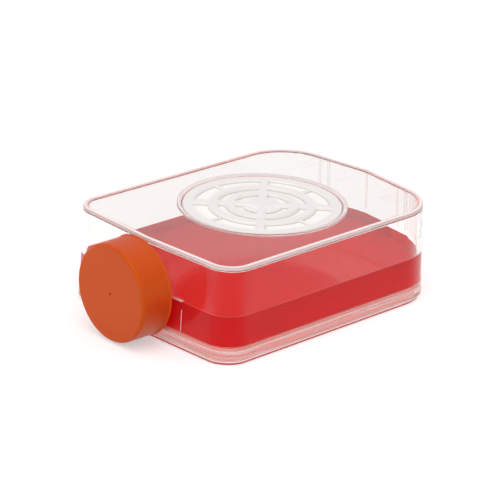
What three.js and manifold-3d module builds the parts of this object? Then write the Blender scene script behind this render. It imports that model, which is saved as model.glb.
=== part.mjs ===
/**
 * Cell culture flask: a clear, flat polystyrene flask that lies on its growth side. A deep lid
 * (roof, walls and neck in one moulding) is welded to a shallow tray with a raised growth floor.
 * A round vent with a breathable disc sits in the roof, a smooth screw cap closes the neck, and
 * the flask is about a third full of red culture medium.
 *
 * Millimetres and degrees. +Z is up, the neck points along -X, and the origin is on the bench
 * under the middle of the flask's overall length and width.
 */
import * as THREE from "three";
import { mergeVertices } from "three/addons/utils/BufferGeometryUtils.js";
import Module from "manifold-3d";

const wasm = await Module();
wasm.setup();

// ---- Driving dimensions -----------------------------------------------------------------

// Body, measured at the foot. The walls lean inwards from there.
const bodyLength = 100; // between the end walls, their crowns left out
const bodyWidth = 79.5;
const bodyHeight = 33.4; // bench to the top of the stacking rim
const neckEndCrown = 1.8; // how far each end wall stands out at its middle crease
const farEndCrown = 4.9;
const neckEndCorner = 9.2; // corner radii in plan
const farEndCorner = 18.4;
const endDraft = 2.0; // degrees
const sideDraft = 1.4;
const wallThickness = 1.5;
const roofThickness = 1.4;
const rimWidth = 1.3; // stacking rim round the roof
const rimRise = 0.4;

// Tray
const weldLevel = 4.5; // where the lid's walls stand on the tray
const floorLevel = 6; // growth surface
const floorThickness = 1.9;
const skirtThickness = 1.5;
const footStep = 0.45; // the foot ring is set in by this much
const footHeight = 1;

// Neck, cap and thread
const boreRadius = 11.1;
const neckWall = 1.5;
const threadHeight = 1.3;
const threadRootWidth = 1.6;
const threadCrestWidth = 0.9;
const threadLead = 6.4; // travel in one full turn
const threadStarts = 2;
const threadTurns = 0.75; // turns in each ridge
const threadSetback = 0.9; // mouth to the first thread flank
const capWall = 2.4;
const capTop = 1.6;
const capDepth = 12.1;
const capEdgeRadius = 1.5;
const capGap = 1.1; // cap rim to the end wall's crown
const gateRadius = 0.6; // dimple left by the moulding gate
const gateDepth = 0.35;
const sealThickness = 1;

// Vent in the roof
const ventOffset = 1.75; // from the body's middle, away from the neck
const ventRadius = 27.2;
const ventRecess = 0.5;
const ventLip = 1.5; // width of the sloping lip round the vent
const ventLedge = 3; // width of the ledge that the breathable disc rests on
const ventLedgeThickness = 0.6;
const grilleThickness = 0.8;
const grilleRibRise = 0.3; // ribs above the grille's own rim
const grilleRimWidth = 4;
const grilleHubRadius = 7;
const grilleBossRadius = 4.4;
const grilleRingWidth = 3.3;
const grilleRings = 2;
const grilleOuterWindow = 4.7; // between the last ring and the rim
const grilleSpokeWidth = 3.4;
const grilleBladeWidth = 1.1; // thin ribs across the outer windows
const membraneThickness = 0.25;

// Medium and fits
const mediumLevel = 16.5;
const looseFit = 0.3; // between pieces that nest or slide past each other
const threadClearance = 0.35; // radial, crest to root
const sealPlay = 0.15; // each side of the seal, along the neck
const benchClearance = 0.5; // cap above the bench
const neckClearance = 0.1; // neck above the weld

// How finely curves are cut
const cornerSteps = 6;
const circleSteps = 64;
const threadStepAngle = 7.5; // degrees
const threadRunOut = 20; // degrees over which a ridge fades in and out
const sink = 0.3; // how deep joined shapes reach into each other before they are fused

// ---- Derived sizes ----------------------------------------------------------------------

const roofLevel = bodyHeight - rimRise;
const ceilingLevel = roofLevel - roofThickness;

const neckRadius = boreRadius + neckWall;
const capBore = neckRadius + threadHeight + threadClearance;
const capRadius = capBore + capWall;
const neckLevel = Math.max(capRadius + benchClearance, neckRadius + weldLevel + neckClearance);

// Distances along the neck are counted from the body's middle.
const capRear = bodyLength / 2 + neckEndCrown + capGap;
const capFront = capRear + capDepth;
const sealSpace = sealThickness + 2 * sealPlay;
const mouth = capFront - capTop - sealSpace;
const threadPitch = threadLead / threadStarts;

const grilleLevel = roofLevel - ventRecess;
const membraneTop = grilleLevel - grilleThickness;
const ledgeTop = membraneTop - membraneThickness;
const ledgeBottom = ledgeTop - ventLedgeThickness;
const ventSeatRadius = ventRadius + looseFit;
const ventCupRadius = ventSeatRadius + ventLip;

// ---- Geometry helpers -------------------------------------------------------------------

/** Turns a closed three.js geometry into a solid that can be joined and cut. */
function solid(geometry) {
  const bare = geometry.clone();
  bare.deleteAttribute("normal");
  bare.deleteAttribute("uv");
  const merged = mergeVertices(bare);
  const vertProperties = merged.getAttribute("position").array;
  const triVerts = Uint32Array.from(merged.getIndex().array);
  return new wasm.Manifold(new wasm.Mesh({ numProp: 3, vertProperties, triVerts }));
}

/** Turns a solid back into a named mesh with its own material. */
function mesh(name, body, colour, roughness, extra = {}) {
  const { vertProperties, triVerts } = body.getMesh();
  const geometry = new THREE.BufferGeometry();
  geometry.setAttribute("position", new THREE.BufferAttribute(vertProperties, 3));
  geometry.setIndex(new THREE.BufferAttribute(triVerts, 1));
  geometry.computeVertexNormals();
  const material = new THREE.MeshStandardMaterial({ color: colour, roughness, metalness: 0, ...extra });
  const piece = new THREE.Mesh(geometry, material);
  piece.name = name;
  return piece;
}

/** A closed polygon whose corners are rounded by the radius given with each of them. */
function roundedPolygon(corners) {
  const shape = new THREE.Shape();
  corners.forEach((corner, i) => {
    const before = corners.at(i - 1).point;
    const after = corners[(i + 1) % corners.length].point;
    const toBefore = before.clone().sub(corner.point).normalize();
    const toAfter = after.clone().sub(corner.point).normalize();
    const halfAngle = Math.acos(toBefore.dot(toAfter)) / 2;
    const start = corner.point.clone().addScaledVector(toBefore, corner.radius / Math.tan(halfAngle));
    if (i === 0) {
      shape.moveTo(start.x, start.y);
    } else {
      shape.lineTo(start.x, start.y);
    }
    if (corner.radius > 0) {
      const inward = toBefore.clone().add(toAfter).normalize();
      const centre = corner.point.clone().addScaledVector(inward, corner.radius / Math.sin(halfAngle));
      const end = corner.point.clone().addScaledVector(toAfter, corner.radius / Math.tan(halfAngle));
      const from = start.sub(centre).angle();
      const to = end.sub(centre).angle();
      shape.absarc(centre.x, centre.y, corner.radius, from, to, false);
    }
  });
  shape.closePath();
  return shape;
}

/** The flask's plan at the foot, set in all round by inset. */
function bodyPlan(inset) {
  const halfLength = bodyLength / 2 - inset;
  const halfWidth = bodyWidth / 2 - inset;
  const neckEnd = Math.max(neckEndCorner - inset, sink);
  const farEnd = Math.max(farEndCorner - inset, sink);
  const corner = (x, y, radius) => ({ point: new THREE.Vector2(x, y), radius });
  return roundedPolygon([
    corner(-halfLength - neckEndCrown, 0, 0),
    corner(-halfLength, -halfWidth, neckEnd),
    corner(halfLength, -halfWidth, farEnd),
    corner(halfLength + farEndCrown, 0, 0),
    corner(halfLength, halfWidth, farEnd),
    corner(-halfLength, halfWidth, neckEnd),
  ]);
}

/** Draws every point towards the middle as it rises, so that the walls get their draft. */
function lean(geometry) {
  const endLean = Math.tan(THREE.MathUtils.degToRad(endDraft)) / (bodyLength / 2);
  const sideLean = Math.tan(THREE.MathUtils.degToRad(sideDraft)) / (bodyWidth / 2);
  const position = geometry.getAttribute("position");
  for (let i = 0; i < position.count; i += 1) {
    const z = position.getZ(i);
    position.setX(i, position.getX(i) * (1 - z * endLean));
    position.setY(i, position.getY(i) * (1 - z * sideLean));
  }
  return geometry;
}

/** A block with the flask's plan, set in by inset, between two levels. */
function bodyBlock(inset, bottom, top) {
  const geometry = new THREE.ExtrudeGeometry(bodyPlan(inset), {
    depth: top - bottom,
    bevelEnabled: false,
    curveSegments: cornerSteps,
  });
  geometry.translate(0, 0, bottom);
  return solid(lean(geometry));
}

/** An upright disc or, between two radii, an upright ring. */
function disc(outer, bottom, top, inner = 0) {
  const shape = new THREE.Shape().absarc(0, 0, outer, 0, 2 * Math.PI, false);
  if (inner > 0) {
    shape.holes.push(new THREE.Path().absarc(0, 0, inner, 0, 2 * Math.PI, true));
  }
  const geometry = new THREE.ExtrudeGeometry(shape, {
    depth: top - bottom,
    bevelEnabled: false,
    curveSegments: circleSteps / 2,
  });
  geometry.translate(0, 0, bottom);
  return solid(geometry);
}

/** A solid of revolution about +Z from [radius, level] pairs that start and end on the axis. */
function turned(profile) {
  const points = profile.map(([radius, level]) => new THREE.Vector2(radius, level));
  const geometry = new THREE.LatheGeometry(points, circleSteps);
  geometry.rotateX(Math.PI / 2);
  return solid(geometry);
}

/** Fuses several solids into one. */
function fused(pieces) {
  return pieces.reduce((whole, piece) => whole.add(piece));
}

/** Moves a shape that was built about +Z onto the neck's axis, which points along -X. */
function onNeck(body) {
  const place = new THREE.Matrix4().makeRotationY(-Math.PI / 2);
  place.setPosition(0, 0, neckLevel);
  return body.transform(place.elements);
}

// ---- Thread -----------------------------------------------------------------------------

/**
 * One helical ridge on a cylinder about +Z. side is 1 for a ridge that stands outwards and -1
 * for one that stands inwards; it ends at the given level, counted along the neck.
 */
function threadRidge(radius, side, endLevel, startAngle) {
  const sweep = threadTurns * 360;
  const steps = Math.round(sweep / threadStepAngle);
  const geometry = new THREE.BoxGeometry(1, 1, 1, steps, 1, 1);
  const position = geometry.getAttribute("position");
  for (let i = 0; i < position.count; i += 1) {
    const along = position.getX(i) + 0.5;
    const atCrest = position.getZ(i) > 0;
    const fromEnd = Math.min(along, 1 - along) * sweep;
    const fade = Math.min(fromEnd / threadRunOut, 1);
    const width = atCrest ? threadCrestWidth : threadRootWidth;
    const reach = atCrest ? threadHeight * fade : -sink;
    const angle = THREE.MathUtils.degToRad(startAngle + along * sweep);
    const r = radius + side * reach;
    const level = endLevel - (1 - along) * threadTurns * threadLead;
    position.setXYZ(i, r * Math.cos(angle), r * Math.sin(angle), level + side * position.getY(i) * width);
  }
  return solid(geometry);
}

/** All the ridges of one side of the thread. */
function thread(radius, side, endLevel) {
  const ridges = [];
  for (let start = 0; start < threadStarts; start += 1) {
    ridges.push(threadRidge(radius, side, endLevel, (start * 360) / threadStarts));
  }
  return fused(ridges);
}

const neckThreadEnd = mouth - threadSetback - threadRootWidth / 2;
const capThreadEnd = neckThreadEnd - threadPitch / 2; // half a pitch behind the neck's ridges

// ---- Pieces -----------------------------------------------------------------------------

/** Seat for the vent: a shallow cup under the roof with a ledge at its bottom. */
function ventCup() {
  return disc(ventCupRadius, ledgeBottom, roofLevel - sink);
}

/** What the vent seat leaves open: the lip, the grille's seat and the hole in the ledge. */
function ventCut() {
  const clear = roofLevel + ventLip;
  const hole = ventSeatRadius - ventLedge;
  return turned([
    [0, ledgeBottom - sink],
    [hole, ledgeBottom - sink],
    [hole, ledgeTop],
    [ventSeatRadius, ledgeTop],
    [ventSeatRadius, grilleLevel],
    [ventCupRadius, roofLevel],
    [ventCupRadius, clear],
    [0, clear],
  ]);
}

/** Roof, walls, stacking rim, vent seat and threaded neck in one clear moulding. */
function upperShell() {
  const walls = bodyBlock(0, weldLevel, roofLevel);
  const chamber = bodyBlock(wallThickness, weldLevel - sink, ceilingLevel);
  const rim = bodyBlock(0, roofLevel - sink, bodyHeight);
  const rimInside = bodyBlock(rimWidth, roofLevel, bodyHeight + sink);
  const neckRoot = bodyLength / 2 - wallThickness / 2 - bodyHeight * Math.tan(THREE.MathUtils.degToRad(endDraft));
  const neck = onNeck(disc(neckRadius, neckRoot, mouth).add(thread(neckRadius, 1, neckThreadEnd)));
  const bore = onNeck(disc(boreRadius, neckRoot - wallThickness, mouth + sink));
  const tray = bodyBlock(-looseFit, 0, weldLevel);
  return walls
    .add(rim)
    .subtract(rimInside)
    .subtract(chamber)
    .add(neck.subtract(chamber).subtract(tray))
    .subtract(bore)
    .add(ventCup().translate([ventOffset, 0, 0]))
    .subtract(ventCut().translate([ventOffset, 0, 0]));
}

/** Growth floor on a skirt. Its top step fits inside the lid's walls. */
function baseTray() {
  const skirt = bodyBlock(0, footHeight, weldLevel).add(bodyBlock(footStep, 0, footHeight + sink));
  const floor = bodyBlock(wallThickness + looseFit, weldLevel - sink, floorLevel);
  const underside = bodyBlock(skirtThickness + footStep, -sink, floorLevel - floorThickness);
  return skirt.add(floor).subtract(underside);
}

/** A straight rib from one radius to another, with a round outer end, lying along +X. */
function rib(width, from, to, bottom, top) {
  const half = width / 2;
  const shape = new THREE.Shape();
  shape.moveTo(from, -half);
  shape.lineTo(to - half, -half);
  shape.absarc(to - half, 0, half, -Math.PI / 2, Math.PI / 2, false);
  shape.lineTo(from, half);
  shape.closePath();
  const geometry = new THREE.ExtrudeGeometry(shape, { depth: top - bottom, bevelEnabled: false });
  geometry.translate(0, 0, bottom);
  return solid(geometry);
}

/** Round insert of rings and spokes that guards the breathable disc. */
function ventGrille() {
  const ribTop = grilleLevel + grilleRibRise;
  const rimInner = ventRadius - grilleRimWidth;
  const lastRing = rimInner - grilleOuterWindow;
  const ringStep = (lastRing - grilleHubRadius) / grilleRings;
  const pieces = [
    disc(ventRadius, membraneTop, grilleLevel, rimInner),
    disc(grilleHubRadius, membraneTop, grilleLevel),
    disc(grilleBossRadius, membraneTop, ribTop),
  ];
  for (let i = 1; i <= grilleRings; i += 1) {
    const outer = grilleHubRadius + i * ringStep;
    pieces.push(disc(outer, membraneTop, ribTop, outer - grilleRingWidth));
  }
  for (let quarter = 0; quarter < 4; quarter += 1) {
    const spoke = rib(grilleSpokeWidth, 0, rimInner + sink, membraneTop, ribTop);
    const blade = rib(grilleBladeWidth, lastRing - sink, rimInner + sink, membraneTop, grilleLevel);
    pieces.push(spoke.rotate([0, 0, 45 + quarter * 90]), blade.rotate([0, 0, quarter * 90]));
  }
  return fused(pieces).translate([ventOffset, 0, 0]);
}

/** Breathable disc between the grille and the ledge. */
function ventMembrane() {
  return disc(ventRadius, ledgeTop, membraneTop).translate([ventOffset, 0, 0]);
}

/** Smooth cap with the gate dimple in its face and the thread inside its skirt. */
function screwCap() {
  const edge = [];
  const edgeSteps = cornerSteps;
  for (let i = 0; i <= edgeSteps; i += 1) {
    const turn = (i / edgeSteps) * (Math.PI / 2);
    const radius = capRadius - capEdgeRadius * (1 - Math.cos(turn));
    edge.push([radius, capFront - capEdgeRadius * (1 - Math.sin(turn))]);
  }
  const shell = turned([
    [0, capFront - capTop],
    [capBore, capFront - capTop],
    [capBore, capRear],
    [capRadius, capRear],
    ...edge,
    [gateRadius, capFront],
    [0, capFront - gateDepth],
  ]);
  return onNeck(shell.add(thread(capBore, -1, capThreadEnd)));
}

/** Loose sealing disc in the cap, pressed on the mouth of the neck. */
function capSeal() {
  return onNeck(disc(capBore - threadClearance, mouth + sealPlay, capFront - capTop - sealPlay));
}

/** Red medium: it fills the chamber to its level and stands in the lower half of the neck. */
function cultureMedium() {
  const chamber = bodyBlock(wallThickness + looseFit, floorLevel, mediumLevel);
  const layer = bodyBlock(-capDepth - capGap, floorLevel, mediumLevel);
  const neckFrom = bodyLength / 2 - neckEndCorner;
  const inNeck = onNeck(disc(boreRadius - looseFit, neckFrom, mouth - looseFit));
  return chamber.add(inNeck.intersect(layer));
}

// ---- Flask ------------------------------------------------------------------------------

const flask = new THREE.Group();
flask.name = "cell_culture_flask";
flask.position.x = (capFront - bodyLength / 2 - farEndCrown) / 2;

const clear = { transparent: true, opacity: 0.35 };
flask.add(
  mesh("upper_shell", upperShell(), "#ece8e8", 0.06, clear),
  mesh("base_tray", baseTray(), "#ece8e8", 0.06, clear),
  mesh("vent_grille", ventGrille(), "#eeeaea", 0.1, clear),
  mesh("vent_membrane", ventMembrane(), "#f2f1ee", 0.8),
  mesh("screw_cap", screwCap(), "#cf5a2a", 0.42),
  mesh("cap_seal", capSeal(), "#e9e6de", 0.6),
  mesh("culture_medium", cultureMedium(), "#c92a2c", 0.05, { transparent: true, opacity: 0.9 }),
);

export default flask;
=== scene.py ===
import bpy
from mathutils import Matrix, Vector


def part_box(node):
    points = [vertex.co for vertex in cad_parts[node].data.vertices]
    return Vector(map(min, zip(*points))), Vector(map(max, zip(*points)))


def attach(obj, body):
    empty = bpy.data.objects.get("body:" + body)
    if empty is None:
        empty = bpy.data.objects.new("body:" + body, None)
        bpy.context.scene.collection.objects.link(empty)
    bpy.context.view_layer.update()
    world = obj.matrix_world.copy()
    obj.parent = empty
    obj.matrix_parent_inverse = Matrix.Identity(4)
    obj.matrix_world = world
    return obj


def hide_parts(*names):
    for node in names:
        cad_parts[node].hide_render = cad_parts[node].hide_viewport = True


bl_info = {
    "name": "Cell Culture Flask",
    "version": (1, 0, 0),
    "blender": (4, 5, 0),
    "location": "3D View > Sidebar > Flask",
    "description": "Models and finishes a vented cell culture flask round its packed solids",
    "category": "Mesh",
}

import math

import bmesh
import bpy
from mathutils import Matrix, Vector

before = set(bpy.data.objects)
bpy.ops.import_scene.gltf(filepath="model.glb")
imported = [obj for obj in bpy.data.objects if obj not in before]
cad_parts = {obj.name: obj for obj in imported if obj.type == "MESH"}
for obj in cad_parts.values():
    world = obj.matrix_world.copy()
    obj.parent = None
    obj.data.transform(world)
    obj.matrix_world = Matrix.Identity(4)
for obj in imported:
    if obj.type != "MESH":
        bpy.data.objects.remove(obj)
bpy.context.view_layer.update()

MM = 0.001
TOUCH = 1e-6  # metres; how close a point must lie to count as on a level or radius

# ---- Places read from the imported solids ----

lid_low, lid_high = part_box("upper_shell")
tray_low, tray_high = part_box("base_tray")
grille_low, grille_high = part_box("vent_grille")
film_low, film_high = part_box("vent_membrane")
cap_low, cap_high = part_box("screw_cap")
seal_low, seal_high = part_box("cap_seal")
medium_low, medium_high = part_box("culture_medium")

FLOOR_LEVEL = tray_high[2]
LID_TOP = lid_high[2]
MOUTH_X = lid_low[0]
NECK_LEVEL = (cap_low[2] + cap_high[2]) / 2
CAP_RADIUS = (cap_high[2] - cap_low[2]) / 2
VENT_X = (grille_low[0] + grille_high[0]) / 2
VENT_RADIUS = (grille_high[0] - grille_low[0]) / 2
MEDIUM_EDGE = medium_high[2] - 0.25 * MM  # the liquid's line on the walls, just under the solid's top
SMOOTH_ANGLE = math.radians(30)  # edges flatter than this are shaded round


def linear(hex_code):
    """An sRGB hex colour such as "c9302c" as linear red, green and blue."""
    channels = [int(hex_code[i:i + 2], 16) / 255 for i in (0, 2, 4)]
    return tuple(c / 12.92 if c <= 0.04045 else ((c + 0.055) / 1.055) ** 2.4 for c in channels)


def length(name, description, millimetres):
    """A length property whose default is given in millimetres."""
    return bpy.props.FloatProperty(
        name=name, description=description, default=millimetres * MM, unit="LENGTH", precision=5
    )


def angle(name, description, degrees):
    """An angle property whose default is given in degrees."""
    return bpy.props.FloatProperty(
        name=name, description=description, default=math.radians(degrees), subtype="ANGLE"
    )


def amount(name, description, default, **kind):
    """A number property, with its unit or subtype where one fits."""
    return bpy.props.FloatProperty(name=name, description=description, default=default, **kind)


def colour(name, description, hex_code):
    """A colour property whose default is given as an sRGB hex value."""
    return bpy.props.FloatVectorProperty(
        name=name, description=description, default=linear(hex_code), subtype="COLOR", min=0, max=1
    )


# ---- Settings ----


class FlaskBodySizes(bpy.types.PropertyGroup):
    """Sizes of the welded body: the lid with its neck, and the tray."""

    neck_crown: length("Neck end crown", "How far the neck end stands out at its crease", 1.8)
    far_crown: length("Far end crown", "How far the far end stands out at its crease", 4.9)
    neck_corner: length("Neck end corners", "Plan radius of the corners beside the neck", 9.2)
    far_corner: length("Far corners", "Plan radius of the corners at the far end", 18.4)
    end_draft: angle("End draft", "Lean of the end walls", 2.0)
    side_draft: angle("Side draft", "Lean of the long walls", 1.4)
    wall: length("Wall", "Thickness of the lid's walls", 1.5)
    roof: length("Roof", "Thickness of the roof", 1.4)
    rim_width: length("Rim width", "Width of the stacking rim", 1.3)
    rim_rise: length("Rim rise", "Height of the stacking rim above the roof", 0.4)
    rim_slope: length("Rim slope", "Width of the rim's sloping inner side", 0.65)
    satin_edge: length("Satin edge", "Height of the dulled band round the top of the walls", 1.0)
    weld_level: length("Weld level", "Height at which the lid stands on the tray", 4.5)
    floor_plate: length("Floor plate", "Thickness of the growth floor", 1.9)
    skirt: length("Skirt", "Thickness of the skirt under the growth floor", 1.5)
    foot_step: length("Foot step", "How far the foot ring is set in", 0.45)
    foot_height: length("Foot height", "Height of the foot ring", 1.0)
    bore_radius: length("Bore radius", "Inner radius of the neck", 11.1)
    neck_wall: length("Neck wall", "Thickness of the neck", 1.5)
    nesting_gap: length("Nesting gap", "Gap between the tray's step and the lid", 0.3)
    weld_line: length("Weld line", "Hairline between the lid and the tray", 0.04)


class FlaskThreadSizes(bpy.types.PropertyGroup):
    """Sizes of the two-start thread on the neck and in the cap."""

    height: length("Height", "How far a ridge stands off its wall", 1.3)
    root: length("Root width", "Width of a ridge at its wall", 1.6)
    crest: length("Crest width", "Width of a ridge at its crest", 0.9)
    lead: length("Lead", "Travel in one full turn", 6.4)
    setback: length("Setback", "Mouth of the neck to the first ridge", 0.9)
    turns: amount("Turns", "Turns in each ridge", 0.75)
    starts: bpy.props.IntProperty(name="Starts", description="Number of ridges", default=2)


class FlaskVentSizes(bpy.types.PropertyGroup):
    """Sizes of the round vent in the roof."""

    recess: length("Recess", "Depth of the grille below the roof", 0.5)
    lip: length("Lip", "Width of the sloping lip", 1.5)
    ledge: length("Ledge", "Width of the ledge under the film", 3.0)
    ledge_plate: length("Ledge plate", "Thickness of the ledge", 0.6)
    seat_gap: length("Seat gap", "Gap round the grille", 0.3)
    rim: length("Grille rim", "Width of the grille's own rim", 4.0)
    hub_radius: length("Hub radius", "Radius of the middle plate", 7.0)
    boss_radius: length("Boss radius", "Radius of the raised boss on the hub", 4.4)
    ring: length("Ring width", "Width of each ring", 3.3)
    outer_window: length("Outer window", "Gap between the last ring and the rim", 4.7)
    spoke: length("Spoke width", "Width of the diagonal spokes", 3.4)
    blade: length("Blade width", "Width of the thin ribs in the outer windows", 1.1)
    rib_rise: length("Rib rise", "Height of the ribs above the grille's rim", 0.3)
    edge: length("Draft", "How far the ribs' sides lean in from foot to top", 0.4)
    air: length("Air gap", "Air between the film and the plastic on each side", 0.04)


class FlaskCapSizes(bpy.types.PropertyGroup):
    """Sizes of the screw cap and the seal in it."""

    wall: length("Wall", "Thickness of the cap's skirt", 2.4)
    top: length("Top", "Thickness of the cap's face", 1.6)
    edge: length("Edge rounding", "Radius between the face and the skirt", 1.1)
    lip: length("Lip rounding", "Rounding of the open rim", 0.35)
    bead: length("Bead", "How far the bead round the open end stands out", 0.3)
    gate_radius: length("Gate radius", "Radius of the moulding gate's dimple", 0.5)
    gate_depth: length("Gate depth", "Depth of the moulding gate's dimple", 0.8)


class FlaskMediumSizes(bpy.types.PropertyGroup):
    """How the liquid meets the plastic."""

    wetting: length("Wetting", "How far it reaches into the plastic, so that no air shows", 0.05)
    climb: length("Meniscus", "How far the liquid climbs the walls", 0.15)
    fillet: length("Meniscus width", "How far from the wall the surface turns level", 0.8)
    curve: amount(
        "Meniscus curve", "Share of the width that its steep part takes", 0.35, subtype="FACTOR"
    )


class FlaskFinishes(bpy.types.PropertyGroup):
    """Colours of the flask's materials, among them pinks, reds and a grey that are painted light and
    shade.
    """

    polystyrene: colour("Polystyrene", "Tint of the clear plastic", "fefdfc")
    cap_plastic: colour("Cap", "Orange of the cap", "c84114")
    cap_shade: colour("Cap shade", "Darker orange in the cap's mould flow", "c2390e")
    # Painted light: pink on the skirt, standing in for red light from the medium
    painted_red_light: colour("Blush", "Pink that the red medium lends to the plastic under it", "efc9c3")
    # Painted light: faint pink on the edges round the roof and on the skirt's streaks
    painted_edge_pink: colour("Edge blush", "Pale pink of the edges round the roof and the vent", "faf0ee")
    # Painted light: pink on fine lines in the vent's frame and at the far end
    painted_line_pink: colour("Line blush", "Pink of fine lines and sharp edges", "edcdca")
    # Painted light: pink on the stacking rim's sides
    painted_rim_pink: colour("Rim blush", "Pink of the stacking rim's sides", "efd6d3")
    # Painted light: pink above the weld, standing in for red light carried in the plastic
    painted_weld_pink: colour("Weld blush", "Warm pink of the satin weld", "fcc4ba")
    # Painted light: a red line along the foot's lower edge, where red light shows in the plastic
    painted_foot_red: colour("Foot blush", "Red that gathers along the foot's lower edge", "dc6660")
    # Painted shade: grey on the grille's ribs where they meet the film
    painted_rib_shade: colour("Rib foot", "Grey of the grille's ribs where they meet the film", "d8d0cc")
    frosted: colour("Frosted plastic", "White of the blasted polystyrene", "f5f0ee")
    membrane: colour("Membrane", "White of the breathable film", "f0edea")
    seal: colour("Seal", "Off-white of the sealing foam", "e9e6de")
    medium: colour("Medium", "Red of the culture medium", "ff2c33")
    # Painted shade: a deeper red on the medium's upright sides
    painted_side_red: colour("Medium's sides", "Deeper red where the medium wets the walls", "f6101c")
    floor: colour("Bench", "Pale grey of the bench", "d0d0d0")


class FlaskStageSettings(bpy.types.PropertyGroup):
    """Camera and light."""

    azimuth: angle("Azimuth", "Camera turn about Z; 0 looks along +Y", -43.83)
    elevation: angle("Elevation", "Camera height as an angle", 21.99)
    roll: angle("Roll", "Camera roll", 2.11)
    distance: length("Distance", "Camera to the aim point", 774.8)
    aim_across: length("Aim across", "Aim point to the right of the body's middle", -2.31)
    aim_height: length("Aim height", "Height of the aim point", 16.15)
    lens: amount("Lens", "Focal length in mm", 163.7, unit="CAMERA")
    bright_side: angle("Bright side", "How far to the camera's left the room is brightest", 20)
    far_horizon: amount("Far horizon", "Level of the low room light beyond the flask", 0.6)
    near_horizon: amount("Near horizon", "Level of the low room light behind the camera", 1.07)
    zenith: amount("Zenith", "Level of the room light overhead", 1.1)
    bench_glow: amount(
        "Bench glow", "Share of the bench's white that its shadows don't reach", 0.43, subtype="FACTOR"
    )
    lamp_power: amount("Lamp power", "Power of each soft lamp", 1.0, unit="POWER")


# ---- Modelling helpers ----


def settings(group):
    """The scene's settings of one group."""
    return getattr(bpy.context.scene, group)


def added(name):
    """Names the primitive that was just added."""
    piece = bpy.context.object
    piece.name = name
    piece.data.name = name
    return piece


def deselect():
    """Leaves object mode with nothing selected."""
    if bpy.context.object and bpy.context.object.mode != "OBJECT":
        bpy.ops.object.mode_set(mode="OBJECT")
    bpy.ops.object.select_all(action="DESELECT")


def make_active(piece):
    """Selects one piece alone."""
    deselect()
    piece.select_set(True)
    bpy.context.view_layer.objects.active = piece


def pick(kind, test):
    """In edit mode, selects only the vertices, edges or faces whose points all pass a test."""
    bpy.ops.mesh.select_mode(type={"verts": "VERT", "edges": "EDGE", "faces": "FACE"}[kind])
    bpy.ops.mesh.select_all(action="DESELECT")
    mesh = bmesh.from_edit_mesh(bpy.context.object.data)
    for item in getattr(mesh, kind):
        points = [item.co] if kind == "verts" else [v.co for v in item.verts]
        item.select_set(all(test(p) for p in points))
    mesh.select_flush_mode()
    bmesh.update_edit_mesh(bpy.context.object.data)


def at_level(level):
    """A test for points on a level."""
    return lambda p: abs(p.z - level) < TOUCH


def modify(piece, kind, **values):
    """Adds a modifier with its settings and applies it."""
    make_active(piece)
    modifier = piece.modifiers.new(kind.lower(), kind)
    for key, value in values.items():
        setattr(modifier, key, value)
    bpy.ops.object.modifier_apply(modifier=modifier.name)


def combine(piece, tool, operation):
    """Joins a tool shape to a piece, or cuts it out, and deletes the tool."""
    modify(piece, "BOOLEAN", object=tool, operation=operation, solver="EXACT")
    bpy.data.objects.remove(tool, do_unlink=True)


def settle(piece, smooth=False):
    """Puts the piece's place into its mesh, closes it cleanly and turns its faces outwards."""
    make_active(piece)
    bpy.ops.object.transform_apply(location=True, rotation=True, scale=True)
    bpy.ops.object.mode_set(mode="EDIT")
    bpy.ops.mesh.select_all(action="SELECT")
    bpy.ops.mesh.remove_doubles(threshold=TOUCH)
    bpy.ops.mesh.normals_make_consistent(inside=False)
    if bmesh.from_edit_mesh(piece.data).calc_volume(signed=True) < 0:
        bpy.ops.mesh.flip_normals()
    bpy.ops.object.mode_set(mode="OBJECT")
    if smooth:
        bpy.ops.object.shade_smooth_by_angle(angle=SMOOTH_ANGLE)
        modify(piece, "WEIGHTED_NORMAL", mode="FACE_AREA", weight=100, keep_sharp=True)


def turned(name, profile, steps=96, closed=False):
    """
    Models a round piece about +Z from (radius, level) pairs: a circle is added, then extruded and
    scaled from pair to pair. A closed profile ends where it began and leaves a hole on the axis.
    """
    deselect()
    radius, level = profile[0]
    bpy.ops.mesh.primitive_circle_add(
        vertices=steps, radius=radius, location=(0, 0, 0), fill_type="NOTHING" if closed else "NGON"
    )
    piece = added(name)
    bpy.ops.object.mode_set(mode="EDIT")
    bpy.ops.transform.translate(value=(0, 0, level))
    for next_radius, next_level in profile[1:] + profile[:1] * closed:
        bpy.ops.mesh.extrude_region_move(TRANSFORM_OT_translate={"value": (0, 0, next_level - level)})
        ratio = next_radius / radius
        bpy.ops.transform.resize(value=(ratio, ratio, 1), center_override=(0, 0, next_level))
        radius, level = next_radius, next_level
    settle(piece)
    return piece


def on_neck(piece):
    """Moves a piece that was modelled about +Z onto the neck's axis, which points along -X."""
    piece.matrix_world = Matrix.Translation((0, 0, NECK_LEVEL)) @ Matrix.Rotation(-math.pi / 2, 4, "Y")
    settle(piece)
    return piece


def at_vent(piece, smooth=False):
    """Moves a piece that was modelled about +Z onto the vent's axis."""
    piece.location.x = VENT_X
    settle(piece, smooth)
    return piece


# ---- The body's plan ----


def body_frame():
    """Middle, half length and half width of the body at the foot, from the tray's own box."""
    body = settings("flask_body")
    half_width = tray_high[1] + body.foot_height * math.tan(body.side_draft)
    crowns = (body.far_crown + body.neck_crown) / 2
    half_span = (tray_high[0] - tray_low[0]) / 2
    half_length = half_span - crowns + body.foot_height * math.tan(body.end_draft)
    middle = (tray_high[0] + tray_low[0]) / 2 - (body.far_crown - body.neck_crown) / 2
    return middle, half_length, half_width


def lean(level):
    """Factors by which the plan is smaller at a level than at the foot, along X and Y."""
    body = settings("flask_body")
    _, half_length, half_width = body_frame()
    along = 1 - level * math.tan(body.end_draft) / half_length
    across = 1 - level * math.tan(body.side_draft) / half_width
    return along, across


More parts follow.
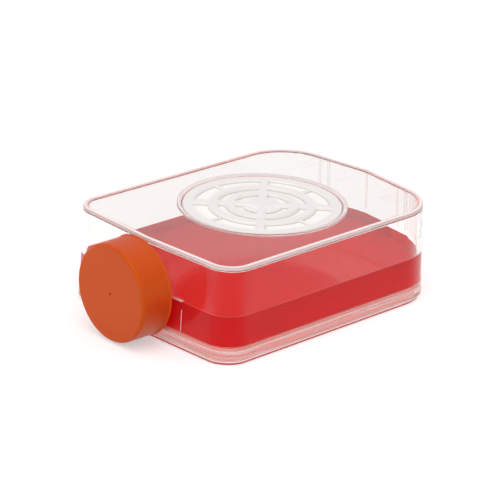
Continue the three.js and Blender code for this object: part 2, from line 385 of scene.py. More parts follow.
def scale_plan(from_level, to_level):
    """Scales what is selected about the body's upright axis, as the draft does between two levels."""
    before, after = lean(from_level), lean(to_level)
    middle = body_frame()[0]
    bpy.ops.transform.resize(
        value=(after[0] / before[0], after[1] / before[1], 1), center_override=(middle, 0, to_level)
    )


def raise_plan(from_level, to_level):
    """Extrudes what is selected from one level to another along the drafted walls."""
    bpy.ops.mesh.extrude_region_move(TRANSFORM_OT_translate={"value": (0, 0, to_level - from_level)})
    scale_plan(from_level, to_level)


def body_plan(name, inset, level, corner_steps=20):
    """Adds the body's plan at a level as one face, set in by inset, and leaves it in edit mode."""
    body = settings("flask_body")
    middle, half_length, half_width = body_frame()
    half_x, half_y = half_length - inset, half_width - inset
    deselect()
    bpy.ops.mesh.primitive_plane_add(size=2, location=(0, 0, 0))
    piece = added(name)
    bpy.ops.object.mode_set(mode="EDIT")
    bpy.ops.transform.resize(value=(half_x, half_y, 1), center_override=(0, 0, 0))
    pick("edges", lambda p: p.x < 0)
    bpy.ops.mesh.subdivide(number_cuts=1)
    pick("edges", lambda p: p.x > 0)
    bpy.ops.mesh.subdivide(number_cuts=1)
    ends = ((-1, body.neck_crown, body.neck_corner), (1, body.far_crown, body.far_corner))
    for side, crown, radius in ends:
        pick("verts", lambda p: abs(p.y) < TOUCH and p.x * side > 0)
        bpy.ops.transform.translate(value=(side * crown, 0, 0))
        half_angle = (math.pi / 2 + math.atan2(crown, half_y)) / 2
        pick("verts", lambda p: abs(p.y) > half_y - TOUCH and p.x * side > 0)
        bpy.ops.mesh.bevel(
            affect="VERTICES", offset_type="OFFSET", segments=corner_steps, profile=0.5,
            offset=(radius - inset) / math.tan(half_angle),
        )
    bpy.ops.mesh.select_all(action="SELECT")
    bpy.ops.transform.translate(value=(middle, 0, 0))
    bpy.ops.transform.translate(value=(0, 0, level))
    scale_plan(0, level)
    return piece


def round_level(level, width, segments=5):
    """Rounds every edge that lies on a level."""
    pick("edges", at_level(level))
    bpy.ops.mesh.bevel(affect="EDGES", offset=width, segments=segments, profile=0.5)


# ---- Thread ----


def thread_ridge(radius, side, end_level, turn):
    """
    One helical ridge about +Z, from a cross-section that the screw modifier carries round.
    side is 1 for a ridge on the outside of a wall and -1 for one on the inside.
    """
    size = settings("flask_thread")
    sunk = 0.3 * MM  # how deep its root reaches into the wall
    steps, run_out = 60, 5  # in the whole ridge, and in each end as it runs out into the wall
    depth = size.height + sunk
    deselect()
    bpy.ops.mesh.primitive_plane_add(size=1, location=(0, 0, 0))
    ridge = added("thread_ridge")
    bpy.ops.object.mode_set(mode="EDIT")
    bpy.ops.transform.resize(value=(depth, size.root, 1), center_override=(0, 0, 0))
    pick("verts", lambda p: p.x * side > 0)
    bpy.ops.transform.resize(value=(1, size.crest / size.root, 1), center_override=(0, 0, 0))
    bpy.ops.mesh.select_all(action="SELECT")
    bpy.ops.mesh.delete(type="ONLY_FACE")
    bpy.ops.object.mode_set(mode="OBJECT")
    run = size.turns * size.lead
    start = radius + side * (depth / 2 - sunk)
    upright = Matrix.Rotation(math.pi / 2, 4, "X")
    ridge.matrix_world = Matrix.Translation((start, 0, end_level - run)) @ upright
    bpy.ops.object.transform_apply(location=True, rotation=True, scale=True)
    sweep = size.turns * math.tau
    modify(ridge, "SCREW", axis="Z", angle=sweep, screw_offset=run, steps=steps, render_steps=steps)
    bpy.ops.object.mode_set(mode="EDIT")
    bpy.ops.mesh.select_mode(type="EDGE")
    bpy.ops.mesh.select_all(action="DESELECT")
    bpy.ops.mesh.select_non_manifold()
    bpy.ops.mesh.edge_face_add()
    crest = radius + side * size.height
    for step in range(run_out):
        ratio = (radius + side * size.height * step / run_out) / crest
        for bearing in (sweep * step / steps, sweep * (1 - step / steps)):
            place = Vector((crest * math.cos(bearing), crest * math.sin(bearing)))
            pick("verts", lambda p: (p.xy - place).length < 10 * TOUCH)
            bpy.ops.transform.resize(value=(ratio, ratio, 1), center_override=(0, 0, 0))
    bpy.ops.object.mode_set(mode="OBJECT")
    ridge.rotation_euler = (0, 0, turn)
    settle(ridge)
    return ridge


def threaded(piece, radius, side, end_level):
    """Adds all the ridges of a thread to a piece."""
    starts = settings("flask_thread").starts
    for start in range(starts):
        ridge = thread_ridge(radius, side, end_level, start * math.tau / starts)
        combine(piece, on_neck(ridge), "UNION")


# ---- Materials ----

COLOUR_MIX = {"data_type": "RGBA", "out": 2}  # what makes a Mix node mix colours, and its output
UPRIGHT = 0.5  # a face counts as upright while its normal's Z is under this
LEVEL = 0.9  # and as level once its normal's Z is over this
CREST_SATIN = 1.5  # how satin the stacking rim's crest is, where 1 is a satin edge

# Lines and streaks in the clear plastic, drawn as coarse as they need to be to show: painted lines of
# bent light at the far end, painted light streaks on the skirt and knit lines beside the neck. Across,
# they are measured from the flask's middle, and up, from the bench.
FINE_LINE = 0.12 * MM
PAINTED_LINE_HALF_WIDTH = 0.15 * MM
PAINTED_LINE_STRENGTH = 0.35
FAR_PAINTED_LINES = (17.0 * MM, 20.9 * MM)
CORNER_STREAKS = 1.4 * MM
SKIRT_STREAKS = 0.7 * MM
UPRIGHT_KNIT = {"across": (18.4 * MM, 18.7 * MM), "up": (6.5 * MM, 14 * MM)}
LEVEL_KNIT = {"across": (14.2 * MM, 18.6 * MM), "up": (16.6 * MM, 17.1 * MM)}
KNIT_REACH = 5 * MM  # how far in from the mouth's end of the tray the knit lines may lie


def add_node(tree, kind, *terms, out=0, **values):
    """
    Adds a node and returns one of its outputs. Terms go to its inputs in order, and named values
    to the inputs or settings of that name. A socket is linked, and anything else is set.
    """
    node = tree.nodes.new("ShaderNode" + kind)
    inputs = {socket.identifier.replace(" ", "_"): socket for socket in node.inputs}
    given = list(zip(node.inputs, terms))
    for key, value in values.items():
        if key in inputs:
            given.append((inputs[key], value))
        else:
            setattr(node, key, value)
    for socket, value in given:
        if isinstance(value, bpy.types.NodeSocket):
            tree.links.new(value, socket)
        else:
            socket.default_value = value
    return node.outputs[out] if node.outputs else None


def new_material(name):
    """An empty node material and its tree."""
    material = bpy.data.materials.new(name)
    material.use_nodes = True
    material.node_tree.nodes.clear()
    return material, material.node_tree


def opaque(rgb):
    """A colour with full alpha, as a socket wants it."""
    return (*rgb, 1.0)


def within(tree, value, low, high):
    """1 where a value lies between two limits, else 0."""
    return add_node(tree, "Math", value, (low + high) / 2, (high - low) / 2, operation="COMPARE")


def most(tree, *shares):
    """The highest of several shares."""
    highest = shares[0]
    for share in shares[1:]:
        highest = add_node(tree, "Math", highest, share, operation="MAXIMUM")
    return highest


def all_of(tree, *shares):
    """Several shares multiplied."""
    product = shares[0]
    for share in shares[1:]:
        product = add_node(tree, "Math", product, share, operation="MULTIPLY")
    return product


def by_length(tree, value, top, stops):
    """
    A shade that changes along a length from 0 to top, from (length, shade) pairs in rising order.
    A shade is a colour or a share, and the last one carries on to the top.
    """
    shades = add_node(tree, "ValToRGB", add_node(tree, "Math", value, top, operation="DIVIDE"))
    elements = shades.node.color_ramp.elements
    elements.remove(elements[0])
    for stop, shade in stops:
        if not isinstance(shade, tuple):
            shade = opaque((shade,) * 3)
        elements[-1].color = shade  # the new ramp's own end, which keeps the last shade
        elements.new(stop / top).color = shade
    return shades


def clear_polystyrene():
    """
    General-purpose polystyrene, injection moulded and left as it comes from a polished mould:
    glass-clear and glossy, with a refractive index of 1.59 that makes edges bright and dark. The
    faint long waves of the mould flow bend reflections a little. Edges, the weld, the knit lines and
    the painted lines at the far end are satin, and pink and red are painted on where red light from
    the medium would gather.
    """
    material, tree = new_material("Clear Polystyrene")
    place = add_node(tree, "TexCoord", out="Object")
    flow = add_node(tree, "TexNoise", Vector=place, Scale=1 / (18 * MM), Detail=1.0)
    bump = add_node(tree, "Bump", Height=flow, Strength=0.06, Distance=0.04 * MM)
    haze = add_node(tree, "TexNoise", Vector=place, Scale=1 / (6 * MM), Detail=3.0)
    gloss = add_node(tree, "MapRange", haze, 0.35, 0.75, 0.0, 0.03)
    satin_roughness, clearest, dullest = 0.3, 0.99, 0.1
    satin, tint = satin_and_tint(tree, place)
    shader = add_node(
        tree, "BsdfPrincipled", Base_Color=tint, Normal=bump,
        Roughness=add_node(tree, "Mix", satin, A_Float=gloss, B_Float=satin_roughness),
        Transmission_Weight=add_node(tree, "MapRange", satin, 0.0, CREST_SATIN, clearest, dullest),
        IOR=1.59, Specular_Tint=(0.1, 0.1, 0.1, 1.0),
    )
    add_node(tree, "OutputMaterial", Surface=shader)
    return material


def frosted_polystyrene():
    """
    The same polystyrene out of a finely blasted mould: the grille's surface scatters most of the
    light, so that it looks whitish over the film. Its ribs are painted grey where they stand on the
    film, as painted shade where little light reaches them, which draws their edges as soft lines.
    """
    finishes = settings("flask_finishes")
    material, tree = new_material("Frosted Polystyrene")
    place = add_node(tree, "TexCoord", out="Object")
    grit = add_node(tree, "TexNoise", Vector=place, Scale=1 / (0.6 * MM), Detail=3.0)
    height = add_node(tree, "SeparateXYZ", place, out="Z")
    # Painted shade: the ribs go from grey at the film to white higher up
    grey_up_to, white_from = film_high[2] + 0.1 * MM, film_high[2] + 0.45 * MM
    above_film = add_node(tree, "MapRange", height, grey_up_to, white_from)
    foot, ribs = opaque(finishes.painted_rib_shade), opaque(finishes.frosted)
    shader = add_node(
        tree, "BsdfPrincipled",
        Base_Color=add_node(tree, "Mix", above_film, A_Color=foot, B_Color=ribs, **COLOUR_MIX),
        Normal=add_node(tree, "Bump", Height=grit, Strength=0.1, Distance=0.02 * MM),
        Roughness=add_node(tree, "MapRange", grit, 0.0, 1.0, 0.28, 0.34),
        IOR=1.59, Transmission_Weight=0.12,
    )
    add_node(tree, "OutputMaterial", Surface=shader)
    return material


def tint_by_level(tree, height):
    """The clear plastic's colour, with painted light: under the growth floor the medium's red light is
    painted on as a red line along the foot, pink on the skirt and warmer pink above the weld, but its
    lines stay pale.
    """
    body, finishes = settings("flask_body"), settings("flask_finishes")
    clear, painted_red_light = opaque(finishes.polystyrene), opaque(finishes.painted_red_light)
    foot, weld_painted_pink = opaque(finishes.painted_foot_red), opaque(finishes.painted_weld_pink)
    line, step, weld = FINE_LINE, body.foot_height, body.weld_level
    # Painted light by height: a red line at the foot, a pink skirt and warmer pink above the weld
    return by_length(tree, height, LID_TOP, [
        (0, foot), (3 * line, foot), (5 * line, clear), (step + 3 * line, clear),
        (step + 5 * line, painted_red_light), (weld - 2 * line, painted_red_light), (weld - line, clear),
        (weld + 2 * line, clear), (weld + 3 * line, weld_painted_pink), (FLOOR_LEVEL - 2 * line, weld_painted_pink),
        (FLOOR_LEVEL, clear),
    ])


def rim_tint(tree, height):
    """Painted light on the roof's edge and the stacking rim: a faint pink, with stronger pink painted
    on the rim's sides for red light carried up the walls.
    """
    body, finishes = settings("flask_body"), settings("flask_finishes")
    pale, pink = opaque(finishes.painted_edge_pink), opaque(finishes.painted_rim_pink)
    line, roof_level = FINE_LINE, LID_TOP - body.rim_rise
    return by_length(tree, height, LID_TOP, [
        (0, pale), (roof_level - line, pale), (roof_level, pink),
        (LID_TOP - line, pink), (LID_TOP - line / 4, pale),
    ])


def satin_by_level(tree, height):
    """How satin the upright faces are: at the foot and its step, along the weld and at the roof."""
    body = settings("flask_body")
    shoulder = LID_TOP - body.satin_edge
    line, step, weld = FINE_LINE, body.foot_height, body.weld_level
    return by_length(tree, height, LID_TOP, [
        (0, 0.7), (3 * line, 0.7), (4 * line, 0),
        (step - 2 * line, 0), (step - line, 1), (step + 3 * line, 1), (step + 4 * line, 0),
        (weld - 2 * line, 0), (weld - line, 1), (weld + 2 * line, 1), (weld + 3 * line, 0.7),
        (FLOOR_LEVEL - line, 0.7), (FLOOR_LEVEL, 0),
        (shoulder - line, 0), (shoulder, 1),
    ])


def far_end_painted_lines(tree, along, across, height):
    """Painted lines at the far end, standing in for light bent where its walls turn: on the crease,
    before the corners and round one.
    """
    body, half = settings("flask_body"), PAINTED_LINE_HALF_WIDTH
    stops = [(0, 1), (half, 1), (2 * half, 0)]
    for line_place in FAR_PAINTED_LINES:
        stops += [(line_place - 2 * half, 0), (line_place - half, 1), (line_place + half, 1), (line_place + 2 * half, 0)]
    aside = add_node(tree, "Math", across, operation="ABSOLUTE")
    lines = by_length(tree, aside, tray_high[1], stops)
    round_corner = add_node(tree, "Math", along, across, operation="ADD")
    streaks = add_node(
        tree, "TexNoise", W=round_corner, Scale=1 / CORNER_STREAKS, Detail=3.0, noise_dimensions="1D"
    )
    fine = add_node(tree, "MapRange", streaks, 0.5, 0.65)
    corner = add_node(tree, "Math", across, tray_low[1] + body.far_corner, operation="LESS_THAN")
    far = add_node(tree, "Math", along, tray_high[0] - body.far_corner, operation="GREATER_THAN")
    dry = add_node(tree, "Math", height, MEDIUM_EDGE + body.wall, operation="GREATER_THAN")
    return all_of(tree, most(tree, lines, all_of(tree, fine, corner)), far, dry)


def neck_marks(tree, along, across, height):
    """Knit lines of the mould beside the neck: one upright, and a short one at the medium's level."""
    aside = add_node(tree, "Math", across, operation="ABSOLUTE")
    upright, level = (
        all_of(tree, within(tree, aside, *knit["across"]), within(tree, height, *knit["up"]))
        for knit in (UPRIGHT_KNIT, LEVEL_KNIT)
    )
    near = add_node(tree, "Math", along, tray_low[0] + KNIT_REACH, operation="LESS_THAN")
    return all_of(tree, near, most(tree, upright, level))


def skirt_streaks(tree, place, height):
    """Where fine level streaks of painted light lie on the skirt: paler than the painted pink round
    them, and satin, standing in for light that the tray's steps spread through it.
    """
    body = settings("flask_body")
    stretch = (0.03, 0.03, 1)  # about thirty times as long as they are high
    drawn = add_node(tree, "VectorMath", place, stretch, operation="MULTIPLY")
    tooling = add_node(tree, "TexNoise", Vector=drawn, Scale=1 / SKIRT_STREAKS, Detail=2.0)
    fine = add_node(tree, "MapRange", tooling, 0.48, 0.68, 0.0, 0.8)
    return all_of(tree, fine, within(tree, height, body.foot_height, body.weld_level))


def satin_and_tint(tree, place):
    """
    How satin the clear plastic is and what colour it shows, which is mostly painted light: pink and
    red from the medium, pale on edges and streaks. The stacking rim and the vent's frame come from
    blasted mould faces. The edges beside the roof, the weld and the foot's step are dulled by their
    tools, and the skirt's light streaks are satin too.
    """
    body, vent, finishes = settings("flask_body"), settings("flask_vent"), settings("flask_finishes")
    white, pale = opaque(finishes.polystyrene), opaque(finishes.painted_edge_pink)
    pink = opaque(finishes.painted_line_pink)
    along, across, height = add_node(tree, "SeparateXYZ", place).node.outputs
    slope = add_node(tree, "SeparateXYZ", add_node(tree, "TexCoord", out="Normal"), out="Z")
    upright = within(tree, slope, -UPRIGHT, UPRIGHT)

    # Painted lines of bent light at the far end: satin, and tinted pink below
    painted_lines = all_of(tree, PAINTED_LINE_STRENGTH, far_end_painted_lines(tree, along, across, height))
    streaks = skirt_streaks(tree, place, height)
    knits = neck_marks(tree, along, across, height)
    sides = all_of(tree, most(tree, satin_by_level(tree, height), streaks, painted_lines, knits), upright)

    margin = 0.05 * MM
    roof_level = LID_TOP - body.rim_rise
    rim = add_node(tree, "Math", height, roof_level + margin, operation="GREATER_THAN")
    crest = within(tree, height, LID_TOP - margin, LID_TOP + margin)
    rim_satin = add_node(tree, "Math", crest, CREST_SATIN - 1, rim, operation="MULTIPLY_ADD")

    plan = add_node(tree, "VectorMath", place, (1, 1, 0), operation="MULTIPLY")
    reach = add_node(tree, "VectorMath", plan, (VENT_X, 0, 0), operation="DISTANCE", out="Value")
    seat = VENT_RADIUS + vent.seat_gap
    edge = seat + vent.lip
    inside = add_node(tree, "Math", reach, edge, operation="LESS_THAN")
    under_film = film_low[2] - 2 * vent.ledge_plate
    above = add_node(tree, "Math", height, under_film, operation="GREATER_THAN")
    vent_frame = all_of(tree, inside, above)
    satin = most(tree, rim_satin, sides, vent_frame)

    line = FINE_LINE
    # Painted pink lines round the vent's seat and lip, standing in for red light caught in the cup's
    # wall
    rings = by_length(tree, reach, edge, [
        (0, white), (seat - 2 * line, white), (seat - line, pink), (seat + line, pink),
        (seat + 2 * line, white), (edge - 3 * line, white), (edge - 2 * line, pink),
        (edge - line, pink), (edge, white),
    ])
    # The rim and the walls' top band take painted pink and pale light
    shoulder = LID_TOP - body.satin_edge - line
    beside_roof = add_node(tree, "Math", height, shoulder, operation="GREATER_THAN")
    edges = most(tree, rim, all_of(tree, upright, beside_roof))
    tint = tint_by_level(tree, height)
    # Painted light laid on in turn: paler on the skirt's streaks, pale and pink on the roof's edges
    # and rim, pink lines in the vent's frame, pink on the far end's lines
    layers = ((streaks, pale), (edges, rim_tint(tree, height)), (vent_frame, rings), (painted_lines, pink))
    for share, shade in layers:
        tint = add_node(tree, "Mix", share, A_Color=tint, B_Color=shade, **COLOUR_MIX)
    return satin, tint


def red_medium():
    """
    Culture medium tinted by a pH dye: water-clear, so it takes its red from depth. Green and blue
    are gone within a few millimetres, while red carries right through the flask. Where it meets the
    walls it is a little cloudy, its upright sides are painted a deeper red as shade, and from inside
    its surfaces look blurred.
    """
    finishes = settings("flask_finishes")
    material, tree = new_material("Red Culture Medium")
    slope = add_node(tree, "SeparateXYZ", add_node(tree, "TexCoord", out="Normal"), out="Z")
    upright = within(tree, slope, -UPRIGHT, UPRIGHT)
    side_clarity, top_clarity, inner_side_clarity, inner_floor_clarity = 0.55, 1.0, 0.4, 0.95
    side_blur, top_blur, inner_blur = 0.4, 0.1, 0.5
    outside = add_node(tree, "MapRange", slope, UPRIGHT, LEVEL, side_clarity, top_clarity)
    inside = add_node(
        tree, "MapRange", slope, -LEVEL, -UPRIGHT, inner_floor_clarity, inner_side_clarity
    )
    ripple = add_node(tree, "MapRange", slope, UPRIGHT, LEVEL, side_blur, top_blur)
    from_inside = add_node(tree, "NewGeometry", out="Backfacing")
    # Painted shade: the upright sides take a deeper red than the top
    medium, side = opaque(finishes.medium), opaque(finishes.painted_side_red)
    shader = add_node(
        tree, "BsdfPrincipled",
        Base_Color=add_node(tree, "Mix", upright, A_Color=medium, B_Color=side, **COLOUR_MIX),
        Transmission_Weight=most(tree, outside, all_of(tree, from_inside, inside)),
        Roughness=most(tree, ripple, all_of(tree, from_inside, inner_blur)),
        IOR=1.34, Specular_Tint=(0.1, 0.1, 0.1, 1.0),
    )
    # Green and blue fall to a third within 4 mm, and red only within 18 cm
    depth = add_node(tree, "VolumeAbsorption", Color=(0.9793, 0.02, 0.04, 1.0), Density=270.0)
    add_node(tree, "OutputMaterial", Surface=shader, Volume=depth)
    return material


def orange_polyethylene():
    """
    High-density polyethylene, injection moulded in a finely eroded mould: a satin orange whose
    highlight is broad, with a slight cloudiness where the colour flowed.
    """
    finishes = settings("flask_finishes")
    plain, shade = opaque(finishes.cap_plastic), opaque(finishes.cap_shade)
    material, tree = new_material("Orange Polyethylene")
    place = add_node(tree, "TexCoord", out="Object")
    cloud = add_node(tree, "TexNoise", Vector=place, Scale=1 / (9 * MM), Detail=2.0)
    grain = add_node(tree, "TexNoise", Vector=place, Scale=1 / (0.35 * MM), Detail=2.0)
    shader = add_node(
        tree, "BsdfPrincipled",
        Base_Color=add_node(tree, "Mix", cloud, A_Color=plain, B_Color=shade, **COLOUR_MIX),
        Normal=add_node(tree, "Bump", Height=grain, Strength=0.25, Distance=0.03 * MM),
        Roughness=0.36, IOR=1.53, Specular_IOR_Level=0.4, Specular_Tint=(0.95, 1.0, 0.12, 1.0),
        Subsurface_Weight=0.08, Subsurface_Scale=0.6 * MM, Subsurface_Radius=(1.0, 0.4, 0.2),
    )
    add_node(tree, "OutputMaterial", Surface=shader)
    return material


def white_membrane():
    """
    Hydrophobic micro-porous film, cast and stretched: dead matt and bright white, with a faint
    felted grain, drawn coarser than the real pores so that it shows.
    """
    material, tree = new_material("White Porous Membrane")
    place = add_node(tree, "TexCoord", out="Object")
    felt = add_node(tree, "TexNoise", Vector=place, Scale=1 / (0.5 * MM), Detail=4.0)
    shader = add_node(
        tree, "BsdfPrincipled", Base_Color=opaque(settings("flask_finishes").membrane),
        Normal=add_node(tree, "Bump", Height=felt, Strength=0.3, Distance=0.03 * MM),
        Roughness=0.9, IOR=1.35,
    )
    add_node(tree, "OutputMaterial", Surface=shader)
    return material


def white_seal_foam():
    """Expanded polyethylene liner, skived from a block: matt, with small closed cells."""
    material, tree = new_material("White Polyethylene Foam")
    place = add_node(tree, "TexCoord", out="Object")
    cells = add_node(tree, "TexVoronoi", Vector=place, Scale=1 / (0.4 * MM))
    shader = add_node(
        tree, "BsdfPrincipled", Base_Color=opaque(settings("flask_finishes").seal),
        Normal=add_node(tree, "Bump", Height=cells, Strength=0.3, Distance=0.05 * MM),
        Roughness=0.75, IOR=1.5,
    )
    add_node(tree, "OutputMaterial", Surface=shader)
    return material


made_materials = {}


def hand_over(piece, body, node, finish):
    """Gives a finished piece its material and its body, and hides the solid that it stands for."""
    if finish not in made_materials:
        made_materials[finish] = finish()
    piece.data.materials.clear()
    piece.data.materials.append(made_materials[finish])
    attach(piece, body)
    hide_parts(node)


# ---- Pieces ----


class FLASK_OT_lid(bpy.types.Operator):
    """Models the clear lid: roof, rim, walls, vent seat and threaded neck"""

    bl_idname = "flask.lid"
    bl_label = "Lid"

    def execute(self, context):
        lid = self.walls()
        self.vent_seat(lid)
        self.neck(lid)
        settle(lid, smooth=True)
        hand_over(lid, "flask", "upper_shell", clear_polystyrene)
        return {"FINISHED"}

    def walls(self):
        """Roof and walls: a drafted block with a rim on top, hollowed from below."""
        body = settings("flask_body")
        roof_level = LID_TOP - body.rim_rise
        ceiling = roof_level - body.roof
        rim_rounding, roof_rounding, ceiling_rounding = 0.35 * MM, 0.15 * MM, 0.3 * MM
        foot = body.weld_level + body.weld_line
        lid = body_plan("lid", 0, foot)
        raise_plan(foot, LID_TOP)
        pick("faces", at_level(LID_TOP))
        bpy.ops.mesh.inset(thickness=body.rim_width, use_even_offset=True)
        bpy.ops.mesh.inset(thickness=body.rim_slope, use_even_offset=True)
        bpy.ops.transform.translate(value=(0, 0, -body.rim_rise))
        pick("faces", at_level(foot))
        bpy.ops.mesh.inset(thickness=body.wall, use_even_offset=True)
        raise_plan(foot, ceiling)
        round_level(LID_TOP, rim_rounding)
        round_level(roof_level, roof_rounding, 3)
        round_level(ceiling, ceiling_rounding)
        settle(lid)
        return lid

    def vent_seat(self, lid):
        """A shallow cup under the roof, opened from above with a sloping lip."""
        body, vent = settings("flask_body"), settings("flask_vent")
        roof_level = LID_TOP - body.rim_rise
        seat = VENT_RADIUS + vent.seat_gap
        bottom = film_low[2] - vent.ledge_plate
        slant, slant_rise = 0.5 * MM, 0.4 * MM  # the cup's lower edge
        cup = turned("vent_cup", [
            (seat + vent.lip - slant, bottom),
            (seat + vent.lip, bottom + slant_rise),
            (seat + vent.lip, roof_level - body.roof / 2),
        ])
        combine(lid, at_vent(cup), "UNION")
        hole = seat - vent.ledge
        cut = turned("vent_cut", [
            (hole, bottom - body.roof),
            (hole, film_low[2]),
            (seat, film_low[2]),
            (seat, roof_level - vent.recess),
            (seat + vent.lip, roof_level),
            (seat + vent.lip, roof_level + body.roof),
        ])
        combine(lid, at_vent(cut), "DIFFERENCE")

    def neck(self, lid):
        """The neck, its thread and the bore through it."""
        body, size = settings("flask_body"), settings("flask_thread")
        bore_radius, radius = body.bore_radius, body.bore_radius + body.neck_wall
        middle, half_length, _ = body_frame()
        inside_crown, lip = 0.25 * MM, 0.3 * MM  # where the tube starts in the end wall; its chamfer
        root = half_length - middle + inside_crown
        mouth = -MOUTH_X
        tube = turned("neck", [(radius, root), (radius, mouth - lip), (radius - lip, mouth)])
        combine(lid, on_neck(tube), "UNION")
        threaded(lid, radius, 1, mouth - size.setback - size.root / 2)
        bore = turned("bore", [(bore_radius, root - 2 * body.wall), (bore_radius, mouth + body.wall)])
        combine(lid, on_neck(bore), "DIFFERENCE")


class FLASK_OT_tray(bpy.types.Operator):
    """Models the tray: growth floor, weld ledge, skirt and foot ring"""

    bl_idname = "flask.tray"
    bl_label = "Tray"

    def execute(self, context):
        body = settings("flask_body")
        foot_rounding, underside_rounding = 0.3 * MM, 0.6 * MM
        tray = body_plan("tray", body.foot_step, 0)
        raise_plan(0, body.foot_height)
        pick("faces", at_level(body.foot_height))
        bpy.ops.mesh.extrude_region_move()
        bpy.ops.transform.resize(value=self.step_ratio(body), center_override=(body_frame()[0], 0, 0))
        raise_plan(body.foot_height, body.weld_level)
        pick("faces", at_level(body.weld_level))
        bpy.ops.mesh.inset(thickness=body.wall + body.nesting_gap, use_even_offset=True)
        raise_plan(body.weld_level, FLOOR_LEVEL)
        pick("faces", at_level(0))
        bpy.ops.mesh.inset(thickness=body.skirt, use_even_offset=True)
        raise_plan(0, FLOOR_LEVEL - body.floor_plate)
        round_level(0, foot_rounding)
        round_level(FLOOR_LEVEL - body.floor_plate, underside_rounding, 4)
        settle(tray, smooth=True)
        hand_over(tray, "flask", "base_tray", clear_polystyrene)
        return {"FINISHED"}

    def step_ratio(self, body):
        """Scale that takes the foot ring's plan out to the skirt's."""
        _, half_length, half_width = body_frame()
        along = half_length / (half_length - body.foot_step)
        across = half_width / (half_width - body.foot_step)
        return (along, across, 1)


class FLASK_OT_vent(bpy.types.Operator):
    """Models the vent's grille and the breathable film under it"""

    bl_idname = "flask.vent"
    bl_label = "Vent"

    def execute(self, context):
        vent = settings("flask_vent")
        bottom, rim_top = grille_low[2], grille_high[2] - vent.rib_rise
        top = grille_high[2]
        rim_inner = VENT_RADIUS - vent.rim
        last = rim_inner - vent.outer_window
        edge = vent.edge
        rim_outer = VENT_RADIUS + vent.seat_gap / 2
        grille = self.ring("grille", rim_inner, rim_outer, bottom, rim_top, edge)
        hub = turned("hub", [
            (vent.hub_radius, bottom), (vent.hub_radius, rim_top - edge),
            (vent.hub_radius - edge, rim_top), (vent.boss_radius, rim_top),
            (vent.boss_radius - edge, top),
        ])
        combine(grille, hub, "UNION")
        step = (last - vent.hub_radius) / 2
        for outer in (vent.hub_radius + step, last):
            ring = self.ring("ring", outer - vent.ring, outer, bottom, top, edge)
            combine(grille, ring, "UNION")
        end = rim_inner + edge
        for quarter in range(4):
            turn = quarter * math.pi / 2
            blade = self.rib(vent.blade, last - edge, end, bottom, rim_top, turn)
            combine(grille, blade, "UNION")
            spoke = self.rib(vent.spoke, vent.boss_radius - edge, end, bottom, top, turn + math.pi / 4)
            combine(grille, spoke, "UNION")
        at_vent(grille, smooth=True)
        hand_over(grille, "flask", "vent_grille", frosted_polystyrene)
        under, over = film_low[2] + vent.air, film_high[2] - vent.air
        film = at_vent(turned("film", [(VENT_RADIUS, under), (VENT_RADIUS, over)]))
        hand_over(film, "flask", "vent_membrane", white_membrane)
        return {"FINISHED"}

    def ring(self, name, inner, outer, bottom, top, edge):
        """A flat ring with sloping sides."""
        profile = [(outer, bottom), (outer - edge, top), (inner + edge, top), (inner, bottom)]
        return turned(name, profile, closed=True)

    def rib(self, width, start, end, bottom, top, turn):
        """A straight rib from one radius to another with sloping sides."""
        deselect()
        bpy.ops.mesh.primitive_cube_add(size=1, location=((start + end) / 2, 0, (bottom + top) / 2))
        rib = added("rib")
        rib.scale = (end - start, width, top - bottom)
        bpy.ops.object.transform_apply(location=True, rotation=True, scale=True)
        bpy.ops.object.mode_set(mode="EDIT")
        pick("faces", at_level(top))
        slope = 1 - 2 * settings("flask_vent").edge / width
        bpy.ops.transform.resize(value=(1, slope, 1))
        bpy.ops.object.mode_set(mode="OBJECT")
        rib.rotation_euler = (0, 0, turn)
        settle(rib)
        return rib


class FLASK_OT_cap(bpy.types.Operator):
    """Models the screw cap and the sealing disc in it"""

    bl_idname = "flask.cap"
    bl_label = "Cap"

    def execute(self, context):
        cap, thread = settings("flask_cap"), settings("flask_thread")
        rear, front = -cap_high[0], -cap_low[0]
        bore, beaded = CAP_RADIUS - cap.wall, CAP_RADIUS + cap.bead
        bead_end = rear + 2 * cap.lip
        outline = [
            (bore, front - cap.top), (bore, rear + cap.lip), (bore + cap.lip, rear),
            (beaded - cap.lip, rear), (beaded, rear + cap.lip), (beaded, bead_end),
            (CAP_RADIUS, bead_end + cap.bead),
        ]
        edge_steps, gate_taper = 8, 0.4
        for step in range(edge_steps + 1):
            turn = step / edge_steps * math.pi / 2
            outline.append((
                CAP_RADIUS - cap.edge * (1 - math.cos(turn)),
                front - cap.edge * (1 - math.sin(turn)),
            ))
        outline += [(cap.gate_radius, front), (cap.gate_radius * gate_taper, front - cap.gate_depth)]
        piece = turned("cap", outline, steps=128)
        first_ridge = -MOUTH_X - thread.setback - thread.root / 2
        on_neck(piece)
        threaded(piece, bore, -1, first_ridge - thread.lead / thread.starts / 2)
        settle(piece, smooth=True)
        hand_over(piece, "cap", "screw_cap", orange_polyethylene)
        radius = (seal_high[2] - seal_low[2]) / 2
        edge = 0.15 * MM
        seal = turned("seal", [
            (radius - edge, -seal_high[0]), (radius, edge - seal_high[0]),
            (radius, -seal_low[0] - edge), (radius - edge, -seal_low[0]),
        ])
        settle(on_neck(seal), smooth=True)
        hand_over(seal, "seal", "cap_seal", white_seal_foam)
        return {"FINISHED"}


